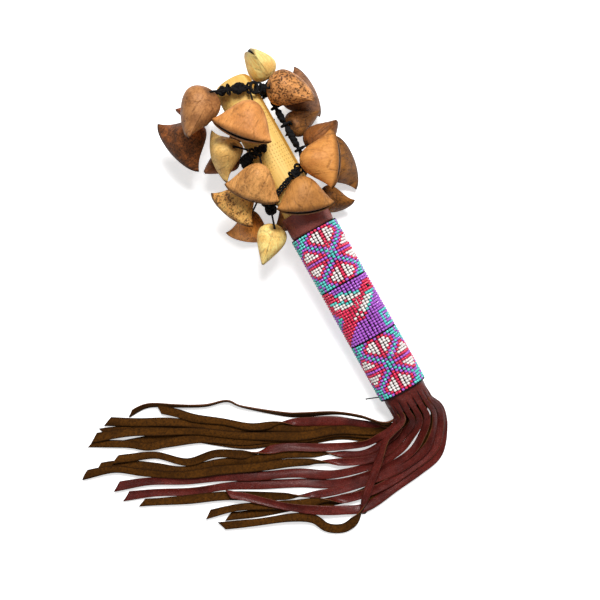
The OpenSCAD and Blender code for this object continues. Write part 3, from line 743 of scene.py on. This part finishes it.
def braided(path, across, out, loose, closed, full):
    """Three yarns plaited flat: each swings across the cord as a sine, and over and under as the sine of
    twice its angle, a third of a turn behind the last. They are slim and close where loose is 0."""
    wide = 0.5 + 1.55 * loose
    slim = min(full, EYE_YARN)
    thick = slim + (full - slim) * loose
    run, whole = lengths(path, closed)
    waves = max(1, round(whole / SWING_L))
    parts = []
    for k in range(3):
        a = 2.0 * math.pi * (waves * run / whole + k / 3.0)
        over = out * (0.45 * wide**0.5 * np.sin(2.0 * a))[:, None]
        yarn = path + across * (wide * np.sin(a))[:, None] + over
        parts.append(plaited(yarn, out, thick, closed, pitch=1.9, sides=9))
    return parts


def open_loop(name, at, long, wide, thick):
    """A slack loop in a ring: a plaited oval lying round the stick, its middle left open."""
    t = full_turn(72)
    centre = np.array([0.0, RINGS[name][0], 0.0])
    path = ring_at(name, at + np.degrees(long * np.cos(t) / RING_R))
    out = unit(path - centre)
    across = np.cross(cord_along(name, at), unit(cord_at(name, at) - centre))
    path = path + across * (wide * np.sin(t))[:, None]
    return plaited(path, out, thick, True, pitch=2.0)


def ring_piece(node, name, start, stop, yarn, front=1.0, loops=()):
    """One cord ring, drawn tighter in front by a share, its knots, and loops in the place of some of them."""
    closed = stop - start >= 360
    degrees = np.linspace(start, stop, int((stop - start) * RING_STEPS), endpoint=not closed)
    path = ring_at(name, degrees)
    out = unit(path - np.array([0.0, RINGS[name][0], 0.0]))
    across = np.cross(cord_along(name, degrees), out)
    tight = np.where(np.cos(np.radians(degrees)) > 0, front, 1.0)
    loose = looseness(name, degrees, math.radians(RING_R)) * tight
    parts = braided(path, across, out, loose, closed, RING_YARN * front**0.6)
    for ring, at, radius in KNOTS:
        if ring == name and at not in loops:
            centre = cord_at(ring, at)
            parts.append(knot(centre, centre * np.array([1.0, 0.0, 1.0]), radius, KNOT_GROWTH[name]))
    parts += [open_loop(name, at, long=2.5, wide=3.1, thick=1.0) for at in loops]
    make_piece(node + "_plait", *laid(*parts), yarn, node)


def side_piece(node, name, x, low, high, yarn):
    """A plaited cord along one side of the stick."""
    y = np.linspace(low, high, int((high - low) / SIDE_STEP))
    path = np.stack([np.full_like(y, x), y, np.zeros_like(y)], -1)
    out = np.tile([math.copysign(1.0, x), 0.0, 0.0], (len(y), 1))
    across = np.tile([0.0, 0.0, 1.0], (len(y), 1))
    loose = looseness(name, y - COLLAR_TOP, 1.0)
    parts = braided(path, across, out, loose, False, SIDE_YARN)
    make_piece(node + "_plait", *laid(*parts), yarn, node)


def make_cords(yarn):
    """The rings and the side cords that carry the pods."""
    ring_piece("upper_ring_cord", "upper", 46, 390, yarn, loops=(38,))
    ring_piece("middle_cord", "middle", -200, -10, yarn)
    ring_piece("lower_ring_cord", "lower", 0, 360, yarn, front=0.4)
    side_piece("left_side_cord", "left", -SIDE_X, cord_at("lower", -90)[1], RINGS["middle"][0], yarn)
    side_piece("right_side_cord", "right", SIDE_X, cord_at("lower", 90)[1], cord_at("upper", 90)[1], yarn)


def pod_axes(row):
    """A pod's tied end, then the directions of its length, width and thickness."""
    end = cord_at(*row[:2]) + np.array(row[2:5])
    y, p, r = np.radians(row[5:8])
    long = np.array([math.cos(p) * math.cos(y), math.cos(p) * math.sin(y), math.sin(p)])
    level = np.array([-math.sin(y), math.cos(y), 0.0])
    wide = spun(level, np.cross(long, level), r)
    return end, long, wide, np.cross(long, wide)


def make_tie(index, row, yarn):
    """A pod's tie: an eye round the cord, a stem to the pod's hole, and a stop knot inside the shell."""
    end, long, wide, _ = pod_axes(row)
    at = cord_at(*row[:2])
    along = cord_along(*row[:2])
    offset = end - at
    out = unit(offset - (offset @ along) * along)
    centre = at + out * EYE_HANG
    eye = centre + EYE_R * spun(out, np.cross(along, out), full_turn(48))
    start = centre + out * EYE_R
    knot_r = HOLE_R + 0.6
    inside = end + long * (SHELL_T + math.sqrt(knot_r**2 - HOLE_R**2))
    stem = through([start, (start + end) / 2, end, inside], 12)
    parts = [
        plaited(eye, along, TIE_D / 2, True, pitch=1.7),
        plaited(stem, wide, TIE_D * 0.41, False, pitch=1.7),
        knot(inside, long, knot_r),
    ]
    tie = "tie_%02d" % (index + 1)
    make_piece(tie + "_yarn", *laid(*parts), yarn, tie, "pod_%02d" % (index + 1))


# Pods

# The points of a ring of a shell, and the steps along its outside and its lining
SHELL_SIDES = 48
OUTER_STEPS = 30
LINING_STEPS = 12

# A shell's width: the shares that open from the tied end and flare at the mouth, and the cut of its corners
OPEN_SHARE = 0.78
FLARE_SHARE = 0.22
CORNER_CUT = 1.8

# How dark a lip is against the inside, which is painted near black as shade
LIP_SHADE = 0.45


def shell_rings(f, size, inner, turn, plump):
    """Rings of a shell, f from 0 at the tied end to 1 at the mouth: the width opens as the square root of f
    and flares with its fourth power, the thickness swells and closes to the slit, each lip bows out, and its
    corners are blunt."""
    trim = SHELL_T if inner else 0.0
    half_w = size * POD_W / 2 - 2.0 * trim
    half_t = size * POD_T / 2 - trim
    lip = SLIT_W / 2 + (0.0 if inner else SHELL_T)
    f = f[:, None]
    m = np.abs(np.sin(turn))
    swell = plump * 4.0 * f * (1.0 - f)
    w = HOLE_R + (half_w - HOLE_R) * (OPEN_SHARE * np.sqrt(f) + FLARE_SHARE * f**4 + swell)
    s = np.sin(math.pi * np.clip(f, 0.0, 1.0) ** 0.7).clip(0.0, 1.0) ** 0.75
    t = HOLE_R * (1.0 - f) + (half_t - HOLE_R) * s + lip * f**3
    blunt = CORNER_CUT * f**3 * np.cos(turn) ** 8
    x = trim * (1.0 - f) + size * POD_L * f + size * LIP_BOW * f * f * m * m - size * blunt
    return np.stack([x, w * np.cos(turn), t * np.sin(turn) * m ** (0.6 * f)], -1)


def make_pod(index, row, shell, rng):
    """A slit nutshell: outer rings, then lining rings back to the hole, closed on themselves and dented."""
    size, light, dark, speckle, reach, plump = row[8:]
    turn = full_turn(SHELL_SIDES)
    f_out = (np.arange(OUTER_STEPS + 1) / OUTER_STEPS) ** 2
    f_in = (1.0 - np.arange(LINING_STEPS + 1) / LINING_STEPS) ** 2
    outer = shell_rings(f_out, size, False, turn, plump)
    lining = shell_rings(f_in, size, True, turn, plump)
    local = np.concatenate([outer, lining])
    phase = rng.uniform(0.0, 6.28, 6)
    dent = np.sin(local[..., 0] * 0.21 + phase[0]) * np.sin(local[..., 1] * 0.19 + phase[1])
    dent = dent + 0.6 * np.sin(local[..., 1] * 0.42 + phase[2]) * np.sin(local[..., 2] * 0.5 + phase[3])
    f = np.concatenate([f_out, f_in])[:, None]
    fold = np.sin(3.0 * turn + phase[4]) * np.sin(7.0 * turn + phase[5]) - 1.0
    dent = (dent - 1.0) * (1.0 - f) * 2.0 + 1.3 * fold * (1.0 - f) ** 2
    local = local * (1.0 + np.array([0.0, 0.01, 0.028]) * (dent * f**0.5)[..., None])
    end, long, wide, thick = pod_axes(row)
    points = end + local[..., :1] * long + local[..., 1:2] * wide + local[..., 2:] * thick
    rows = len(local)
    run = np.broadcast_to(f, (rows, SHELL_SIDES))
    # How much of the painted shade inside the slit each ring is given
    inside = np.zeros((rows, 1))
    inside[OUTER_STEPS] = LIP_SHADE
    inside[OUTER_STEPS + 1:] = 1.0
    layers = {
        "shell_place": (local + rng.uniform(-200.0, 200.0, 3)).reshape(-1, 3),
        "shell_marks_and_slit_shade": np.stack(np.broadcast_arrays(speckle, reach * run, inside), -1).reshape(-1, 3),
        "shell_run": run.reshape(-1),
        "shell_seam": np.tile(np.abs(np.cos(turn)) > 0.999, rows),
        "shell_light": np.tile(seen(light), (run.size, 1)),
        "shell_dark": np.tile(seen(dark), (run.size, 1)),
    }
    pod = "pod_%02d" % (index + 1)
    faces = wrapped_quads(rows, SHELL_SIDES, True)
    make_piece(pod + "_shell", lay(points), faces, shell, pod, pod, layers)


# Beadwork

PALETTE = {
    "red": (240, 48, 92),
    "white": (255, 246, 242),
    "purple": (188, 100, 218),
    "teal": (96, 216, 208),
    "black": (14, 12, 14),
}

# Points round a bead and round the bed of thread under it. Then a bead's profile from hole to hole, and half
# its size outward, sideways and along the stick (mm).
BEAD_SIDES = 10
BED_SIDES = 160
BEAD_LEVELS = np.array([-1.0, -0.86, -0.4, 0.4, 0.86, 1.0])
BEAD_SWELL = np.array([0.5, 0.84, 1.0, 1.0, 0.84, 0.5])
BEAD_HALF = (0.98, 0.97, 0.73)

# How far a bead's middle and the bed lie under the beads' radius, the bed's waves (mm), and how uneven the
# beads are in angle, place and size
BEAD_DEPTH = 1.0
BED_DEPTH = 1.25
BED_WAVE = 0.2
UNEVEN = np.array([0.006, 0.05, 0.03])[:, None, None]


def chart(shape, ground):
    """A grid of bead colours, all of the ground, and a function that puts a colour where a mask is true."""
    tints = np.tile(seen(PALETTE[ground]), (*shape, 1))

    def put(mask, colour):
        tints[mask] = seen(PALETTE[colour])

    return tints, put


def within(v, low, high):
    """Where values are between two limits or on them."""
    return (v >= low) & (v <= high)


def rosette(row, column):
    """A four-petalled rosette, by distance from its centre: teal diagonals edged with purple part four white
    petals with red rims, and purple dashes break the teal corners."""
    a = np.abs(column)
    b = np.abs(row - BEAD_ROWS // 2)
    tints, put = chart(np.broadcast(a, b).shape, "teal")
    put(within(b, 9, 10) & (a == 7), "purple")
    put((b == 8) & within(a, 8, 9), "purple")
    high = np.minimum(np.minimum(b - 3, 12 - b), 4)
    put((b >= 2) & (a == high + 1), "purple")
    put((b >= 3) & (a <= high), "white")
    put((b >= 3) & ((a == high) | ((a == 0) & (high >= 0))), "red")
    put((b == 10) & (a <= 2), "red")
    put((b == 10) & (a == 0), "purple")
    tall = np.minimum(np.minimum(a - 1, 12 - a), 5)
    beside = (a >= 2) & (b <= 6) & (a > b - 1)
    put(beside & (b == tall + 1), "purple")
    put(beside & (b <= tall), "white")
    put(beside & ((b == tall) | (b == 1)), "red")
    put(beside & (a == 9) & (b < 4), "red")
    put((b == 0) & (a >= 2), "purple")
    put((b == 2) & (a == 2), "purple")
    put((a == 10) & (b <= 4), "purple")
    put((b == 0) & (a <= 1), "teal")
    put(within(b, 1, 7) & (a == b - 1), "teal")
    put(within(b, 1, 4) & (a == b), "purple")
    return tints


def bird(row, column):
    """A red bird on purple: its body runs from the head at the upper right to the tail at the lower left,
    with two white wing bars tipped teal, a stepped white and teal flank, and a teal hook below."""
    row, column = np.broadcast_arrays(row, column)
    tints, put = chart(row.shape, "purple")
    edge = np.where(row <= 13, 13 - row, 11 - row)
    left = np.where(row <= 7, -9, np.where(row <= 10, row - 15, 6 - row))
    put((row >= 5) & within(column, left, edge), "red")
    put((row <= 5) & (column <= row - 6), "red")
    put(within(row, 2, 5) & within(column, 7 - row, 8), "red")
    put((row == 4) & (column == -4), "red")
    put((row == 13) & (column > 0), "purple")
    bar = [(0, 0, 2, "teal"), (1, 1, 2, "white"), (1, 3, 4, "teal"), (2, 1, 4, "white"), (2, 5, 6, "teal"),
           (3, 3, 6, "white")]
    for down, over in ((2, -4), (4, -7)):
        for r, low, high, colour in bar:
            put((row == down + r) & within(column - over, low, high), colour)
    put((row == 6) & within(column, 4, 7), "teal")
    flank = within(row, 7, 11)
    put(flank & (column == 13 - row), "teal")
    put(flank & (column > 13 - row), "purple")
    put(flank & within(column, 10 - row, 12 - row), "white")
    put(within(row, 11, 12) & ((column == 10 - row) | (column == 12 - row)), "white")
    put((row == 11) & (column == 0), "red")
    put((row == 4) & (column == 6), "black")
    put(within(row, 10, 13) & within(column, 3 - row, 4 - row), "teal")
    put(((row == 14) | (row == 19)) & within(column, 5, 9), "teal")
    put(within(row, 14, 19) & (column == 5), "teal")
    put(within(row, 16, 17) & within(column, 7, 9), "teal")
    return tints


def make_panel(node, index, pattern, middle, shift, glass, rng):
    """One woven panel: barrel beads, their holes along the stick, on a grid of rows and columns round the
    sleeve, over a bed of black thread. The pattern goes twice round, with the given column in its middle."""
    low = BAND_W + index * (PANEL_L + BAND_W)
    row = np.arange(BEAD_ROWS)[:, None]
    column = np.arange(BEAD_COLUMNS)
    half = BEAD_COLUMNS // 2
    tints = pattern(row, (column - middle + half // 2) % half - half // 2)
    jitter = rng.normal(0.0, 1.0, (3, BEAD_ROWS, BEAD_COLUMNS)) * UNEVEN
    angle = 2.0 * math.pi * (column + shift) / BEAD_COLUMNS + jitter[0]
    height = low + PANEL_L - (row + 0.5) * ROW_PITCH + jitter[1]
    turn = full_turn(BEAD_SIDES)
    out = BEAD_SWELL[:, None] * np.cos(turn) * BEAD_HALF[0]
    side = BEAD_SWELL[:, None] * np.sin(turn) * BEAD_HALF[1]
    tall = BEAD_LEVELS[:, None] * BEAD_HALF[2]
    grow = (1.0 + jitter[2])[..., None, None]
    a = angle[..., None, None]
    r = BEAD_R - BEAD_DEPTH + out * grow
    x = r * np.sin(a) + side * grow * np.cos(a)
    z = r * np.cos(a) - side * grow * np.sin(a)
    beads = np.stack(np.broadcast_arrays(x, height[..., None, None] + tall, z), -1)
    rings = len(BEAD_LEVELS)
    starts = np.arange(BEAD_ROWS * BEAD_COLUMNS)[:, None, None] * rings * BEAD_SIDES
    faces = (starts + np.array(wrapped_quads(rings, BEAD_SIDES, False))).reshape(-1, 4).tolist()
    faces += (starts + np.array(end_caps(rings, BEAD_SIDES))).reshape(-1, BEAD_SIDES).tolist()
    tints = np.repeat(tints.reshape(-1, 3), rings * BEAD_SIDES, 0)
    around = full_turn(BED_SIDES)
    crown = BEAD_R - BED_DEPTH + BED_WAVE * np.cos(BEAD_COLUMNS * around + math.pi)
    under = np.full(BED_SIDES, SLEEVE_R)
    ends = np.array([low, low + PANEL_L, low + PANEL_L, low])[:, None]
    bed = ringed(np.stack([crown, crown, under, under]), ends, around)
    tints = np.concatenate([tints, np.tile(seen(PALETTE["black"]), (4 * BED_SIDES, 1))])
    both = laid((beads, faces), (bed, wrapped_quads(4, BED_SIDES, True)))
    make_piece(node + "_weave", *both, glass, node, layers={"bead_colour": tints})


# The woven panels: place from the lowest, pattern, the column in its middle, and a shift in columns
PANELS = {
    "bead_panel_upper": (2, rosette, 1, 0.0),
    "bead_panel_middle": (1, bird, 0, 0.0),
    "bead_panel_lower": (0, rosette, 0, -0.2),
}


def make_beadwork():
    """The three woven panels."""
    glass = bead_glass()
    rng = np.random.default_rng(11)
    for node, plan in PANELS.items():
        make_panel(node, *plan, glass, rng)


# Stick and sleeve

# Points round the stick and the sleeve, rings of the stick's straight part, and rows of the sleeve's outside
STICK_SIDES = 96
SLEEVE_SIDES = 432
STICK_RINGS = 60
OUTER_ROWS = 80

# The skirt's slits: degrees from one to the next, and half their width (mm)
SLIT_STEP = 20.0
SLIT_HALF = 0.42


def make_stick():
    """The round stick with its rounded tip: a quarter circle between side and end. It is a little uneven."""
    bend = np.linspace(0.0, math.pi / 2, 9)[1:]
    shoulder = STICK_TOP - TIP_ROUND
    y = np.concatenate([np.linspace(-STICK_TAIL, shoulder, STICK_RINGS), shoulder + TIP_ROUND * np.sin(bend)])
    r = np.concatenate([np.full(STICK_RINGS, STICK_R), STICK_R - TIP_ROUND + TIP_ROUND * np.cos(bend)])
    turn = full_turn(STICK_SIDES)
    y = y[:, None]
    rough = 1.0 + 0.012 * np.sin(2 * turn + y * 0.03) + 0.006 * np.sin(5 * turn - y * 0.05) - 0.018
    points = ringed(r[:, None] * np.where(y < COLLAR_TOP + 1.0, 1.0, rough), y, turn)
    faces = wrapped_quads(len(y), STICK_SIDES, False) + end_caps(len(y), STICK_SIDES)
    make_piece("stick_turned", lay(points), faces, stick_wood(), "stick")


def make_sleeve():
    """The leather sleeve: a thin turned wall under the beads, a soft collar, and a skirt that narrow slits
    part into the roots of its strips, each root a little rounded between its slits."""
    flare = COLLAR_R - SLEEVE_R
    rows = [
        (np.linspace(-SKIRT_L, 0.0, 34), SLEEVE_R),
        (np.linspace(4.0, BEAD_TOP, 24), SLEEVE_R),
        (BEAD_TOP + np.array([0.3, 0.6, 1.2, 2.2]), SLEEVE_R + flare * np.array([0.3, 0.5, 0.75, 0.95])),
        (np.linspace(BEAD_TOP + 3.4, COLLAR_TOP - 0.9, 16), COLLAR_R),
        (COLLAR_TOP - np.array([0.5, 0.2, 0.0]), COLLAR_R - np.array([0.05, 0.2, 0.5])),
        (COLLAR_TOP - np.array([0.0, 0.4]), STICK_R + np.array([0.5, 0.0])),
        (np.linspace(COLLAR_TOP - 2.0, -SKIRT_L, 20), STICK_R),
    ]
    y = np.concatenate([at for at, _ in rows])[:, None]
    r = np.concatenate([np.broadcast_to(far, at.shape) for at, far in rows])[:, None]
    turn = full_turn(SLEEVE_SIDES)
    outer = np.arange(len(y))[:, None] < OUTER_ROWS
    number = np.round((np.degrees(turn) - SLIT_STEP / 2) / SLIT_STEP)
    off = np.abs(turn - np.radians(number * SLIT_STEP + SLIT_STEP / 2)) * SLEEVE_R
    tops = -1.6 - 3.4 * np.abs(np.sin(number * 2.3 + 0.7))
    depth = np.clip((tops - y) / 3.0, 0.0, 1.0)
    slit = np.exp(-((off / SLIT_HALF) ** 2)) * depth
    round_root = 0.3 * np.clip((off - 2.2) / 2.2, -1.0, 0.0) ** 2 * depth
    crease = 0.16 * np.sin(9 * turn + 0.5 * y) * np.clip((3.0 - y) / 6.0, 0.0, 1.0)
    dent = 0.1 * np.sin(3 * turn + 0.3 * y) * np.clip((y - BEAD_TOP - 1.0) / 3.0, 0.0, 1.0)
    points = ringed(r + np.where(outer, crease + dent - 0.08 - 0.6 * slit - round_root, 0.0), y, turn)
    faces = wrapped_quads(len(y), SLEEVE_SIDES, True)
    # The slit layer carries the painted shade in the slits.
    layers = {"slit": np.where(outer, slit, 0.0).reshape(-1), "collar": np.repeat(y > BEAD_TOP, SLEEVE_SIDES)}
    leather = hide_leather("sleeve_leather", False)
    make_piece("sleeve_leather", lay(points), faces, leather, "leather_sleeve", layers=layers)


place_camera()
make_fringe()
place_lights()
place_table()
yarn = black_yarn("cord_yarn")
make_cords(yarn)
shell = nutshell()
pod_rng = np.random.default_rng(3)
for pod_index, pod_row in enumerate(PODS):
    make_tie(pod_index, pod_row, yarn)
    make_pod(pod_index, pod_row, shell, pod_rng)
make_beadwork()
make_stick()
make_sleeve()
thread = black_yarn("waxed_thread")
for label in ("thread_bands", "thread_tail"):
    node_mesh = frame["nodes"][label].data
    node_mesh.materials.clear()
    node_mesh.materials.append(thread)
